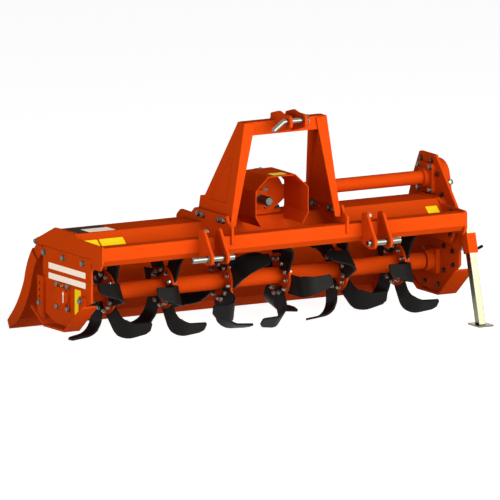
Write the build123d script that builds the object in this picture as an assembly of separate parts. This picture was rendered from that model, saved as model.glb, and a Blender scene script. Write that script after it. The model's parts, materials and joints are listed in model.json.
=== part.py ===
"""Rotary tiller, 1.5 m class, side drive, for a tractor's three-point hitch.

Datum while modelling: X across the machine, 0 at the hitch's centre, minus towards the free end.
Y backwards, 0 at the front face of the front beam. Z up, 0 at the top of the front beam.
place() moves everything at the end so that the origin is under the middle, on the ground.
"""

import os
from math import asin, atan, cos, degrees, radians, sin, sqrt, tan

from build123d import *

# ---- driving dimensions, mm ----
FREE_END = -785.0            # outer face of the free end's plates
DRIVE_END = 745.0            # outer face of the deck's end plate on the drive side
CASE_FACE = 766.0            # inner face of the gear case's plate
GROUND = -409.0              # level that the tines and the stand's foot rest on

BEAM_DEPTH = 47.0
BEAM_HEIGHT = 49.0
DECK_SHEET = 4.0
CAP_SHEET = 8.0
DRIVE_CAP_SHEET = 10.0

ROTOR_Y, ROTOR_Z = 280.0, -218.0
ROTOR_TUBE_R = 31.5
ROTOR_STUB_R = 25.0          # drive side
FREE_STUB_R = 20.0
BEARING_HUB_R = 44.0
RUNNING_GAP = 0.05           # radial clearance of a running fit

FLANGE_R = 81.0
FLANGE_SHEET = 8.0
FLANGE_PITCH = 243.2
FIRST_FLANGE_X = -612.0
# one row a flange: angle, from straight down towards the front, of one tine that points to the free end
TINE_PHASES = (-13.0, -25.0, -56.0, 30.0, 0.0, -25.0)
TINE_SHEET = 8.0
TINE_REACH = 122.0           # along the rotor, from the flange's middle
TINE_BEND_R = 60.0           # middle of the sheet
TINE_BEND_Z = 108.0          # the bend's centre, from the rotor's axis
TINE_TURN = 84.5
TINE_SLOPE = 15.0

DRIVE_Y, DRIVE_Z = 324.0, 80.0
DRIVE_TUBE_R = 25.5
CASE_UPPER_R, CASE_LOWER_R = 66.0, 88.0
PTO_Z = 82.0

LINK_PIN_Y, LINK_PIN_Z = -69.0, -64.0
LINK_PIN_R = 11.0
LINK_SPREAD = 341.5          # from the middle to the centre of each pair of lugs
TOP_PIN_Y, TOP_PIN_Z = -48.0, 410.0
TOP_PIN_R = 9.5
TOP_MOUTH = 52.0             # between the top link's two plates

HINGE_Y, HINGE_Z = 480.0, -44.0
HINGE_ROD_R = 8.0
HOOD_SHEET = 3.0

ROD_TOP_Y, ROD_TOP_Z = 438.0, 70.0
ROD_EYE_Y, ROD_EYE_Z = 585.0, -95.0

SKID_SHEET = 8.0
SKID_BOTTOM = -343.0

STAND_X = 764.0
STAND_TILT = 15.7            # degrees, foot forward of the sleeve

LEG_TOP_X, LEG_FOOT_X = 172.0, 232.0
LEG_TOP_Z, LEG_FOOT_Z = 403.0, 24.0
LEG_LEAN = degrees(atan((LEG_FOOT_X - LEG_TOP_X) / (LEG_TOP_Z - LEG_FOOT_Z)))
BASE_X = 236.0                # inner face of the plate that carries a leg
LEG_LENGTH = (LEG_TOP_Z - LEG_FOOT_Z) / cos(radians(LEG_LEAN))


# ---- profiles ----
def outline(points):
    """A closed profile from rows of (across, up) or (across, up, corner radius)."""
    corners = [row[:2] for row in points]
    rounding = [row[2] if len(row) > 2 else 0.0 for row in points]
    if not any(rounding):
        return make_face(Polyline(*corners, close=True))
    return make_face(FilletPolyline(*corners, radius=rounding, close=True))


def fold(points, sheet):
    """The closed section of a folded sheet: its outer face's rows of (across, up), with the sheet to the right."""
    inner = []
    for i, here in enumerate(points):
        before = points[max(i - 1, 0)]
        after = points[min(i + 1, len(points) - 1)]
        sides = []
        for a, b in ((before, here), (here, after)):
            length = sqrt((b[0] - a[0]) ** 2 + (b[1] - a[1]) ** 2)
            if length > 0:
                sides.append(((b[1] - a[1]) / length, -(b[0] - a[0]) / length))
        nx = sum(side[0] for side in sides) / len(sides)
        nz = sum(side[1] for side in sides) / len(sides)
        scale = sheet / (nx * nx + nz * nz)
        inner.append((here[0] + nx * scale, here[1] + nz * scale))
    return make_face(Polyline(*points, *reversed(inner), close=True))


def across_x(face, x0, x1):
    """A (back, up) profile made solid from x0 to x1."""
    return extrude(Plane.YZ.offset(x0) * face, amount=x1 - x0)


def along_y(face, y0, y1):
    """A (across, up) profile made solid from y0 to y1."""
    return extrude(Plane.XZ.offset(-y1) * face, amount=y1 - y0)


def bar_x(radius, x0, x1, y, z):
    """A round bar along the machine's width."""
    return across_x(Pos(y, z) * Circle(radius), x0, x1)


def bar_y(radius, y0, y1, x, z):
    """A round bar along the direction of travel."""
    return along_y(Pos(x, z) * Circle(radius), y0, y1)


ALIGN_BASE = (Align.CENTER, Align.CENTER, Align.MIN)
parts = {}


# ---- deck and front beam ----
def deck_sheet():
    """Low behind the beam, up a steep front slope, level under the gearbox, then down to the hood's hinge."""
    section = fold([(BEAM_DEPTH, -36), (133, -36), (204, 21.5), (333, 21.5), (464, -28)], DECK_SHEET)
    return across_x(section, FREE_END + CAP_SHEET, DRIVE_END - DRIVE_CAP_SHEET)


def front_beam():
    tube = outline([(0, 0, 5), (BEAM_DEPTH, 0), (BEAM_DEPTH, -BEAM_HEIGHT, 5), (0, -BEAM_HEIGHT)])
    tube -= outline([(4, -4), (BEAM_DEPTH - 4, -4), (BEAM_DEPTH - 4, 4 - BEAM_HEIGHT), (4, 4 - BEAM_HEIGHT)])
    lip = outline([(0, -BEAM_HEIGHT), (22, -71), (26, -67), (8, -BEAM_HEIGHT)])
    return across_x(tube + lip, FREE_END + CAP_SHEET, DRIVE_END - DRIVE_CAP_SHEET)


CAP_TOP = [(0, 4), (172, 7), (203, 24), (346, 25), (468, -30), (494, -40, 10), (494, -60, 8)]


def end_cap_free():
    plate = outline(CAP_TOP + [(472, -53), (80, -53), (72, -85), (17, -87, 6), (0, -58)])
    cap = across_x(plate, FREE_END, FREE_END + CAP_SHEET)
    flange = outline([(84, -96), (424, -96), (424, -36), (141, -36), (134, -41.5), (84, -41.5)])
    return cap + across_x(flange, FREE_END + CAP_SHEET, FREE_END + 2 * CAP_SHEET)


def end_cap_drive():
    inner = DRIVE_END - DRIVE_CAP_SHEET
    plate = outline([(0, 4, 12), (172, 7), (203, 24), (346, 25), (468, -30), (494, -40, 10), (494, -60, 8),
                     (440, -75), (440, -130, 20), (110, -130, 20), (80, -85), (17, -87, 6), (0, -58)])
    cap = across_x(plate, inner, DRIVE_END)
    rim = outline([(108, -4), (176, 2), (206, 20), (345, 20), (452, -26), (432, -60), (128, -60)])
    return cap + across_x(rim, DRIVE_END, CASE_FACE)


# ---- free side ----
def side_plate_free():
    plate = outline([(80, -53), (428, -53), (428, -290), (388, -305), (340, -324), (239, -326), (152, -245),
                     (80, -215)])
    side = across_x(plate, FREE_END, FREE_END + CAP_SHEET)
    side -= bar_x(BEARING_HUB_R, FREE_END, FREE_END + CAP_SHEET, ROTOR_Y, ROTOR_Z)
    bracket = outline([(104, -198, 8), (158, -198, 8), (158, -266.4), (114.5, -231)])
    return side + across_x(bracket, FREE_END - 8, FREE_END)


def bearing_free():
    """Cap outside the side plate and hub inside it, in one casting that passes through the plate."""
    half, corner = 49.0, 25.0
    block = chamfer(Rectangle(2 * half, 2 * half).vertices(), corner)
    cap = across_x(Pos(ROTOR_Y, ROTOR_Z) * block, FREE_END - 14, FREE_END)
    cap = chamfer(cap.faces().sort_by(Axis.X)[0].edges(), 3)
    cap += bar_x(BEARING_HUB_R, FREE_END, -742, ROTOR_Y, ROTOR_Z)
    return cap - bar_x(FREE_STUB_R + RUNNING_GAP, -770, -740, ROTOR_Y, ROTOR_Z)


def skid(x0, x1):
    """Bent strip under a side: rear riser, flat sole, and a nose with rounded corners."""
    section = fold([(485, -284), (391, SKID_BOTTOM), (239, SKID_BOTTOM), (109, -237)], SKID_SHEET)
    strip = across_x(section, x0, x1)
    width = x1 - x0
    plan = Pos((x0 + x1) / 2, 104 + 200) * RectangleRounded(width, 400, 26)
    return strip & extrude(Plane.XY.offset(SKID_BOTTOM - 10) * plan, amount=150)


RISER_SLOPE = 59.0 / 94.0


def riser_top(y):
    """Height of the upper surface of a skid's rear riser."""
    return -336.2 + (y - 386.75) * RISER_SLOPE


def skid_strap(x0, x1):
    """Angle iron that ties a skid's rear riser to the side plate: a face with a row of holes, and a front web."""
    side = 1 if x1 > 0 else -1
    face_x = (x1 - 5, x1) if side > 0 else (x0, x0 + 5)
    face = outline([(410, riser_top(410)), (450, riser_top(450)), (450, -162), (410, -162)])
    strap = across_x(face, *face_x)
    web = outline([(410, riser_top(410)), (415, riser_top(415)), (415, -162), (410, -162)])
    strap += across_x(web, x0, x1)
    for i in range(4):
        strap -= bar_x(5, x0 - 1, x1 + 1, 433, -190 - 25 * i)
    return strap


# ---- drive side ----
def gear_case_plate():
    with BuildLine() as line:
        rim = Polyline((388, -322), (271, SKID_BOTTOM + SKID_SHEET), (232, -325), (97, -213), (97, -25), (112, -9),
                       (267, 168), (375, 168), (385, 165), (427, 86), (463, -4), (460, ROTOR_Z))
        ThreePointArc(rim @ 1, (441, -281), rim @ 0)
    return across_x(make_face(line.line), CASE_FACE, CASE_FACE + 10)


def gear_case_cover():
    upper = Pos(DRIVE_Y, DRIVE_Z) * Circle(CASE_UPPER_R)
    lower = Pos(ROTOR_Y, ROTOR_Z) * Circle(CASE_LOWER_R)
    capsule = make_hull(upper.edges() + lower.edges())
    cover = across_x(capsule, CASE_FACE + 10, CASE_FACE + 62)
    return fillet(cover.faces().sort_by(Axis.X)[-1].edges(), 14)


def oil_plug():
    """Filler plug on the cover's sloping front, square to it."""
    spread = sqrt((DRIVE_Y - ROTOR_Y) ** 2 + (DRIVE_Z - ROTOR_Z) ** 2)
    slope = atan((DRIVE_Y - ROTOR_Y) / (DRIVE_Z - ROTOR_Z)) + asin((CASE_LOWER_R - CASE_UPPER_R) / spread)
    down = 30.0
    y = DRIVE_Y - CASE_UPPER_R * cos(slope) - down * sin(slope)
    z = DRIVE_Z + CASE_UPPER_R * sin(slope) - down * cos(slope)
    plug = Cylinder(11, 10, align=ALIGN_BASE)
    plug = chamfer(plug.edges().sort_by(Axis.Z)[-1], 2)
    return Pos(CASE_FACE + 36, y, z) * Rot(90 - degrees(slope), 0, 0) * plug


def bearing_housing_drive():
    flange = Pos(ROTOR_Y, ROTOR_Z) * RectangleRounded(94, 94, 8)
    body = across_x(flange, CASE_FACE - 17, CASE_FACE)
    body += bar_x(40, CASE_FACE - 46, CASE_FACE - 17, ROTOR_Y, ROTOR_Z)
    return body - bar_x(ROTOR_STUB_R + RUNNING_GAP, CASE_FACE - 50, CASE_FACE, ROTOR_Y, ROTOR_Z)


def drive_tube():
    tube = bar_x(DRIVE_TUBE_R, 120, CASE_FACE, DRIVE_Y, DRIVE_Z)
    tube += bar_x(36, CASE_FACE - 30, CASE_FACE, DRIVE_Y, DRIVE_Z)
    flange = Pos(DRIVE_Y, DRIVE_Z) * RectangleRounded(108, 108, 10)
    return tube + across_x(flange, CASE_FACE - 14, CASE_FACE)


# ---- gearbox and its guard ----
def gearbox():
    case = outline([(-60, 35, 8), (60, 35, 8), (88, 62, 12), (88, 120, 18), (58, 146, 14), (-58, 146, 14),
                    (-88, 120, 18), (-88, 62, 12)])
    box = along_y(case, 237, 392)
    box += extrude(Plane.XY.offset(21.7) * Pos(0, 285) * RectangleRounded(210, 96, 12), amount=14.3)
    box += bar_x(52, 80, 120, DRIVE_Y, DRIVE_Z)
    box += bar_x(46, -102, -80, DRIVE_Y, DRIVE_Z)
    box += bar_y(48, 385, 404, 0, PTO_Z)
    return box - bar_y(24, 230, 265, 0, PTO_Z)


def gearbox_flange():
    radius = 110.0
    side = sqrt(radius ** 2 - 108.0 ** 2)
    with BuildLine() as line:
        foot = Polyline((-108, PTO_Z + side), (-108, 72), (-68, 42), (-50, 22), (50, 22), (68, 42), (108, 72),
                        (108, PTO_Z + side))
        ThreePointArc(foot @ 1, (0, PTO_Z + radius), foot @ 0)
    plate = along_y(make_face(line.line), 227, 237)
    plate += bar_y(34, 207, 227, 0, PTO_Z)
    return plate - bar_y(18.45 + RUNNING_GAP, 200, 240, 0, PTO_Z)


def pto_guard():
    wall = fold([(-88, 9), (-111, 47), (-111, 142), (-57, 192), (57, 192), (111, 142), (111, 47), (88, 9)],
                HOOD_SHEET)
    below_deck = outline([(150, -22), (204.3, 22), (240, 22), (240, -40), (150, -40)])
    return along_y(wall, 53, 227) - across_x(below_deck, -150, 150)


def pto_shaft():
    """Six splined shaft, 35 mm over the teeth."""
    shaft = bar_y(14.9, 145, 260, 0, PTO_Z)
    tooth = Pos(0, 16) * Rectangle(8.7, 2.9)
    for i in range(6):
        turned = Pos(0, PTO_Z) * Rot(0, 0, 60 * i) * tooth
        shaft += along_y(turned, 145, 205)
    nose = bar_y(17.45, 145, 300, 0, PTO_Z)
    nose = chamfer(nose.faces().sort_by(Axis.Y)[0].edges(), 4)
    return (shaft & nose) + bar_y(18.45, 205, 237, 0, PTO_Z)


# ---- mast ----
def mast_leg(side):
    """Folded leg: a side plate that widens backwards, with a front and a rear flange that narrow downwards.

    Drawn upright with its outer face on x = 0, then leaned in about its foot.
    """
    web = outline([(28, 40), (28, LEG_LENGTH), (75, LEG_LENGTH), (236, 90), (240, 90), (268, 84), (268, 40)])
    leg = across_x(web, 0, 8)
    flange = outline([(0, 0), (0, LEG_LENGTH), (44, LEG_LENGTH), (23, 30), (23, 6, 5)])
    leg += along_y(flange, 28, 34)
    rear = outline([(69, LEG_LENGTH), (75, LEG_LENGTH), (236, 90), (229, 90)])
    taper = outline([(0, 90), (0, LEG_LENGTH - 52), (45, LEG_LENGTH - 52), (14, 90)])
    leg += across_x(rear, 0, 60) & along_y(taper, 60, 240)
    panel = outline([(113, 241, 4), (76, 249, 4), (74, 82, 4), (205, 80, 4)])
    leg -= across_x(panel, -1, 3)
    leg = Pos(-LEG_FOOT_X, 0, LEG_FOOT_Z) * Rot(0, LEG_LEAN, 0) * leg
    return leg if side < 0 else mirror(leg, Plane.YZ)


def mast_crossbar():
    lean = tan(radians(LEG_LEAN))
    inner_top = LEG_TOP_X - 8 / cos(radians(LEG_LEAN))
    height = 49.0
    half = [(inner_top, LEG_TOP_Z), (inner_top + lean * height, LEG_TOP_Z - height)]
    bar = outline([(-half[1][0], half[1][1]), half[1], half[0], (-half[0][0], half[0][1])])
    solid = along_y(bar, 34, 75)
    hollow = outline([(-300, LEG_TOP_Z - height + 5), (300, LEG_TOP_Z - height + 5), (300, LEG_TOP_Z - 5),
                      (-300, LEG_TOP_Z - 5)])
    return solid - along_y(hollow, 39, 70)


def mast_base(side):
    """Plate on edge that carries a mast leg and hooks over the front beam."""
    plate = outline([(-7, -33, 3), (-0.2, -33, 3), (-0.2, 0.2), (47.2, 0.2), (47.2, -35.8), (132.9, -35.8),
                     (203.9, 21.7), (333, 21.7), (395, -1.7), (395, 20, 6), (366, 44, 12), (290, 42, 20), (262, 66, 14), (36, 66, 10), (20, 44, 12),
                     (-7, 30, 14)])
    base = across_x(plate, BASE_X, BASE_X + 10)
    # two tapered packers fill the gap to the leaning leg
    lean = tan(radians(LEG_LEAN))
    packer = outline([(BASE_X, 36), (BASE_X, 60), (LEG_FOOT_X - (60 - LEG_FOOT_Z) * lean, 60),
                      (LEG_FOOT_X - (36 - LEG_FOOT_Z) * lean, 36)])
    for y in (68, 216):
        base += along_y(packer, y - 30, y + 30)
    return base if side > 0 else mirror(base, Plane.YZ)


def top_link_bracket():
    plate = outline([(TOP_PIN_Y - 22, 388, 20), (TOP_PIN_Y - 22, 432, 20), (-12, 432, 10), (22, 439, 12),
                     (76, 424, 10), (76, LEG_TOP_Z), (34, LEG_TOP_Z), (34, 362), (20, 362, 6)])
    plate -= Pos(TOP_PIN_Y, TOP_PIN_Z) * Circle(TOP_PIN_R + 0.3)
    half = TOP_MOUTH / 2
    return across_x(plate, -half - 10, -half) + across_x(plate, half, half + 10)


def top_link_pin():
    """Plain pin with a bent handle at the free side."""
    rod = bar_x(TOP_PIN_R, -52, 50, TOP_PIN_Y, TOP_PIN_Z)
    turn = degrees(atan(44 / 31))
    handle = Pos(-52, TOP_PIN_Y, TOP_PIN_Z) * Rot(0, turn + 180, 0) * Cylinder(
        TOP_PIN_R, 52, align=ALIGN_BASE)
    return rod + handle + Pos(-52, TOP_PIN_Y, TOP_PIN_Z) * Sphere(TOP_PIN_R)


# ---- lower links ----
def lower_link_lugs(side):
    plate = outline([(-0.2, 30), (-5, 38, 4), (-35, 38, 10), (-72, -22), (-96, -52, 16), (-94, -84, 22),
                     (-56, -90, 14), (-0.2, -76)])
    plate -= Pos(LINK_PIN_Y, LINK_PIN_Z) * Circle(LINK_PIN_R + 0.3)
    middle = side * LINK_SPREAD
    return across_x(plate, middle - 38, middle - 28) + across_x(plate, middle + 28, middle + 38)


# one row a side: outer end and inner end of the pin along X
LOWER_PIN_ENDS = {-1: (-448.0, -272.0), 1: (425.0, 287.0)}


def lower_link_pin(side):
    """Hitch pin: the stub outside the lugs takes the tractor's link, a thin collar seats it on the lug."""
    outer, inner = LOWER_PIN_ENDS[side]
    seat = side * (LINK_SPREAD + 38)
    pin = bar_x(LINK_PIN_R, min(outer, inner), max(outer, inner), LINK_PIN_Y, LINK_PIN_Z)
    pin = chamfer(pin.edges().filter_by(GeomType.CIRCLE), 2)
    return pin + bar_x(LINK_PIN_R + 2.5, min(seat, seat + 3 * side), max(seat, seat + 3 * side), LINK_PIN_Y,
                       LINK_PIN_Z)


# ---- rotor ----
def rotor_tube():
    tube = bar_x(ROTOR_TUBE_R, -736, 716, ROTOR_Y, ROTOR_Z)
    tube += bar_x(FREE_STUB_R, -768, -736, ROTOR_Y, ROTOR_Z)
    return tube + bar_x(ROTOR_STUB_R, 716, CASE_FACE - 1, ROTOR_Y, ROTOR_Z)


def flange_x(i):
    return FIRST_FLANGE_X + FLANGE_PITCH * i


def rotor_flanges():
    ring = Pos(ROTOR_Y, ROTOR_Z) * (Circle(FLANGE_R) - Circle(ROTOR_TUBE_R))
    half = FLANGE_SHEET / 2
    discs = [across_x(ring, flange_x(i) - half, flange_x(i) + half) for i in range(len(TINE_PHASES))]
    return Compound(children=[disc.solid() for disc in discs])


def tine():
    """One blade that points up, with its wing towards +X and its cutting edge towards -Y.

    The strip's bend is drawn in the (across, up) plane and drawn out sideways on a slope, so that the cutting
    edge runs on a larger radius than the back edge. Two outlines then trim it: the shank seen along the rotor,
    which sweeps towards the cutting edge, and the wing seen from outside.
    """
    half = TINE_SHEET / 2
    seat = FLANGE_SHEET / 2 + half
    turn = radians(TINE_TURN)
    centre = (seat + TINE_BEND_R, TINE_BEND_Z)

    def arc(radius):
        return [(centre[0] - radius * cos(a), centre[1] + radius * sin(a)) for a in (0.0, turn / 2, turn)]

    end = arc(TINE_BEND_R)[2]
    run = (TINE_REACH - end[0]) / sin(turn)
    tip = (TINE_REACH, end[1] + run * cos(turn))
    across, up = -cos(turn) * half, sin(turn) * half
    outer, inner = arc(TINE_BEND_R + half), arc(TINE_BEND_R - half)
    with BuildLine() as line:
        Line((seat - half, 30), outer[0])
        ThreePointArc(*outer)
        Polyline(outer[2], (tip[0] + across, tip[1] + up), (tip[0] - across, tip[1] - up), inner[2])
        ThreePointArc(*reversed(inner))
        Polyline(inner[0], (seat + half, 30), (seat - half, 30))
    section = Plane.XZ * make_face(line.line)
    slope = radians(TINE_SLOPE)
    sideways = Vector(0, -cos(slope), sin(slope))
    strip = extrude(section, amount=90, dir=sideways) + extrude(section, amount=90, dir=-sideways)

    shank = outline([(-50, 40, 14), (2, 40, 14), (11, 66, 30), (10, 138, 12), (24, 158, 12), (24, 230), (-66, 230),
                     (-61, 150, 30), (-60, 60, 20)])
    wing = outline([(0, 24), (0, -66), (20, -58, 30), (68, -43, 60), (108, -30, 14), (TINE_REACH + 1, -14, 10),
                    (TINE_REACH + 1, 17, 8), (60, 12, 40), (20, 14, 10)])
    return (strip & across_x(shank, 0, 150) & extrude(Plane.XY * wing, amount=260)).solid()


def tine_set(i, blade):
    """The six blades of one flange, three on each face, sixty degrees apart."""
    mirrored = mirror(blade, Plane.YZ)
    blades = []
    for k in range(3):
        free_angle = TINE_PHASES[i] + 120 * k
        for solid, angle in ((mirrored, free_angle), (blade, free_angle + 60)):
            place_at = Pos(flange_x(i), ROTOR_Y, ROTOR_Z) * Rot(180 - angle, 0, 0)
            blades.append((place_at * solid).solid())
    return Compound(children=blades)


# ---- rear hood, its hinge and its adjusting rods ----
HOOD_KNUCKLES = (-640, -320, 0, 320, 600)


def hinge_rod():
    return bar_x(HINGE_ROD_R, FREE_END + CAP_SHEET, DRIVE_END - DRIVE_CAP_SHEET, HINGE_Y, HINGE_Z)


def hood_curve():
    with BuildLine() as line:
        ThreePointArc((486, -55), (537, -124), (565, -200))
        ThreePointArc((565, -200), (599, -266), (660, -342))
        Polyline((660, -342), (686, -368), (672, -396))
    return line.line


def hood_strip(depth):
    curve = hood_curve()
    inner = offset(curve, amount=-depth, side=Side.LEFT, kind=Kind.INTERSECTION, closed=True)
    return make_face(inner)


def rear_hood():
    x0, x1 = FREE_END + 1, DRIVE_END - 1
    hood = across_x(hood_strip(HOOD_SHEET), x0, x1)
    for x in (x0, x1):
        hood -= Pos(x, HINGE_Y + 20, HINGE_Z + 20) * Box(26, 120, 100)
    for x in HOOD_KNUCKLES:
        hood += bar_x(14, x - 24, x + 24, HINGE_Y, HINGE_Z)
    ear = outline([(520, -98), (550, -155), (600, -112, 14), (606, -84, 16), (572, -76, 16)])
    ear -= Pos(ROD_EYE_Y, ROD_EYE_Z) * Circle(TRUNNION_R + 0.3)
    hood += across_x(ear, -33, -27) + across_x(ear, 27, 33)
    return hood - bar_x(HINGE_ROD_R + RUNNING_GAP, FREE_END, DRIVE_END, HINGE_Y, HINGE_Z)


def hood_cheek(side):
    with BuildLine() as line:
        ThreePointArc((512, -86), (541, -134), (560, -199))
        ThreePointArc((560, -199), (596, -268), (656, -343))
        Polyline((656, -343), (678, -365), (668, -388))
        Polyline((668, -388), (628, -372))
        ThreePointArc((628, -372), (556, -287), (518, -208))
        ThreePointArc((518, -208), (500, -150), (478, -112))
        Line((478, -112), (512, -86))
    x0 = FREE_END + 1 if side < 0 else DRIVE_END - 5
    return across_x(make_face(line.line), x0, x0 + 4)


ROD_R = 9.0
ROD_PIN_R = 7.0
TRUNNION_R = 8.0
ROD_LENGTH = 345.0
ROD_DROP = degrees(atan((ROD_TOP_Z - ROD_EYE_Z) / (ROD_EYE_Y - ROD_TOP_Y)))
ROD_TO_EYE = sqrt((ROD_TOP_Z - ROD_EYE_Z) ** 2 + (ROD_EYE_Y - ROD_TOP_Y) ** 2)
ROD_PLACE = Pos(0, ROD_TOP_Y, ROD_TOP_Z) * Rot(-ROD_DROP, 0, 0)


def rod_bracket():
    """Two ears on the deck's rear slope, with the pin that carries the hood's adjusting rod."""
    ear = outline([(417, -9.4), (460, -25.9), (460, 91, 21), (417, 91, 21)])
    bracket = across_x(ear, -27, -19) + across_x(ear, 19, 27)
    return bracket + bar_x(ROD_PIN_R, -19, 19, ROD_TOP_Y, ROD_TOP_Z)


def hood_rod():
    """Rod with an eye on the bracket's pin, two spring seats, and a nut's collar at its end."""
    rod = bar_y(ROD_R, 0, ROD_LENGTH, 0, 0)
    rod += bar_x(17, -12, 12, 0, 0)
    for y0, y1, radius in ((62, 74, 20), (148, 153, 18), (ROD_LENGTH - 24, ROD_LENGTH - 12, 20)):
        rod += bar_y(radius, y0, y1, 0, 0)
    rod -= bar_x(ROD_PIN_R + RUNNING_GAP, -20, 20, 0, 0)
    return ROD_PLACE * rod


def rod_trunnion():
    """Cross block that turns in the hood's ears while the rod slides through it."""
    block = bar_x(17, -20, 20, ROD_TO_EYE, 0) + bar_x(TRUNNION_R, -34, 34, ROD_TO_EYE, 0)
    return ROD_PLACE * (block - bar_y(ROD_R + 0.3, ROD_TO_EYE - 20, ROD_TO_EYE + 20, 0, 0))


def rod_springs():
    """The two springs on the rod, above and below the trunnion, as the sleeves that they fill."""
    springs = []
    for y0, y1 in ((74, 148), (ROD_TO_EYE + 17.5, ROD_LENGTH - 24)):
        springs.append(bar_y(18, y0, y1, 0, 0) - bar_y(ROD_R, y0, y1, 0, 0))
    return ROD_PLACE * Compound(children=[spring.solid() for spring in springs])


# ---- parking stand ----
# The stand is drawn upright about the sleeve's top front corner, then leaned forward.
STAND_TOP_Y, STAND_TOP_Z = 6.3, -79.0
SLEEVE_LENGTH = 72.0
STAND_LEAN = Pos(STAND_X, STAND_TOP_Y, STAND_TOP_Z) * Rot(-STAND_TILT, 0, 0)


def upright(width, depth, z0, z1, y0=0.0):
    block = Rectangle(width, depth, align=(Align.CENTER, Align.MIN))
    return extrude(Plane.XY.offset(z0) * Pos(0, y0) * block, amount=z1 - z0)


def stand_sleeve():
    sleeve = upright(38, 41, -SLEEVE_LENGTH, 0) - upright(31, 34, -SLEEVE_LENGTH - 1, 1, 3.5)
    sleeve = STAND_LEAN * sleeve
    lean = tan(radians(STAND_TILT))
    back = STAND_TOP_Y + 40 / cos(radians(STAND_TILT))

    def back_y(z):
        return back + (z - STAND_TOP_Z) * lean

    plate = outline([(back_y(-93), -93), (132, -93, 10), (132, -152, 10), (back_y(-152), -152)])
    return sleeve + across_x(plate, CASE_FACE - 10, CASE_FACE)


def stand_pin():
    """Plunger in the sleeve's outer wall, with a bent grip."""
    drop = 57.0
    grip_from = STAND_X + 32
    shaft = Pos(STAND_X + 19, 20.5, -drop) * Rot(0, 90, 0) * Cylinder(4.5, 13, align=ALIGN_BASE)
    elbow = Pos(grip_from, 20.5, -drop) * Sphere(5.5)
    grip = Pos(grip_from, 20.5, -drop) * Rot(0, 70, 0) * Cylinder(5.5, 21, align=ALIGN_BASE)
    return Pos(0, STAND_TOP_Y, STAND_TOP_Z) * Rot(-STAND_TILT, 0, 0) * (shaft + elbow + fillet(grip.edges(), 1.5))


def stand_leg():
    drop = (STAND_TOP_Z - GROUND - 6) / cos(radians(STAND_TILT))
    leg = upright(27, 30, -drop - 6, 18, 5.5) - upright(21, 24, -drop - 6, 13, 8.5)
    leg = STAND_LEAN * leg
    above = Pos(STAND_X, 0, GROUND + 300) * Box(200, 400, 588, align=(Align.CENTER, Align.CENTER, Align.CENTER))
    return leg & above


def stand_foot():
    toe = STAND_TOP_Y - (STAND_TOP_Z - GROUND) * tan(radians(STAND_TILT)) + 21
    foot = Pos(STAND_X, toe) * RectangleRounded(64, 84, 5)
    return extrude(Plane.XY.offset(GROUND) * foot, amount=6)


# ---- assembly ----
parts["deck_sheet"] = deck_sheet()
parts["front_beam"] = front_beam()
parts["end_cap_free"] = end_cap_free()
parts["end_cap_drive"] = end_cap_drive()
parts["side_plate_free"] = side_plate_free()
parts["bearing_free"] = bearing_free()
parts["skid_free"] = skid(-806, -741)
parts["skid_drive"] = skid(759, 836)
parts["skid_strap_free"] = skid_strap(-797, FREE_END)
parts["skid_strap_drive"] = skid_strap(CASE_FACE + 10, CASE_FACE + 29)
parts["gear_case_plate"] = gear_case_plate()
parts["gear_case_cover"] = gear_case_cover()
parts["oil_plug"] = oil_plug()
parts["bearing_housing_drive"] = bearing_housing_drive()
parts["drive_tube"] = drive_tube()
parts["gearbox"] = gearbox()
parts["gearbox_flange"] = gearbox_flange()
parts["pto_guard"] = pto_guard()
parts["pto_shaft"] = pto_shaft()
parts["mast_crossbar"] = mast_crossbar()
parts["top_link_bracket"] = top_link_bracket()
parts["top_link_pin"] = top_link_pin()
for side, name in ((-1, "free"), (1, "drive")):
    parts["mast_leg_" + name] = mast_leg(side)
    parts["mast_base_" + name] = mast_base(side)
    parts["lower_link_lugs_" + name] = lower_link_lugs(side)
    parts["lower_link_pin_" + name] = lower_link_pin(side)
    parts["hood_cheek_" + name] = hood_cheek(side)
parts["rotor_tube"] = rotor_tube()
parts["rotor_flanges"] = rotor_flanges()
blade = tine()
for i in range(len(TINE_PHASES)):
    parts["tines_" + str(i + 1)] = tine_set(i, blade)
parts["hinge_rod"] = hinge_rod()
parts["rear_hood"] = rear_hood()
parts["rod_bracket"] = rod_bracket()
parts["hood_rod"] = hood_rod()
parts["rod_trunnion"] = rod_trunnion()
parts["rod_springs"] = rod_springs()
parts["stand_sleeve"] = stand_sleeve()
parts["stand_pin"] = stand_pin()
parts["stand_leg"] = stand_leg()
parts["stand_foot"] = stand_foot()

whole = Compound(children=[shape for shape in parts.values()]).bounding_box()
shift = Vector(-(whole.min.X + whole.max.X) / 2, -(whole.min.Y + whole.max.Y) / 2, -whole.min.Z)
print("shift", shift.X, shift.Y, shift.Z, "size", whole.size)
os.makedirs("parts", exist_ok=True)
for name, shape in parts.items():
    solids = [Pos(shift) * solid for solid in shape.solids()]
    piece = solids[0] if len(solids) == 1 else Compound(solids)
    export_step(piece, "parts/" + name + ".step")
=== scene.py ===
"""Dress of the rotary tiller: finishes, fasteners, welds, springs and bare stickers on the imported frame."""

import json
import math

import bmesh
import bpy
from mathutils import Matrix, Vector


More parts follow.
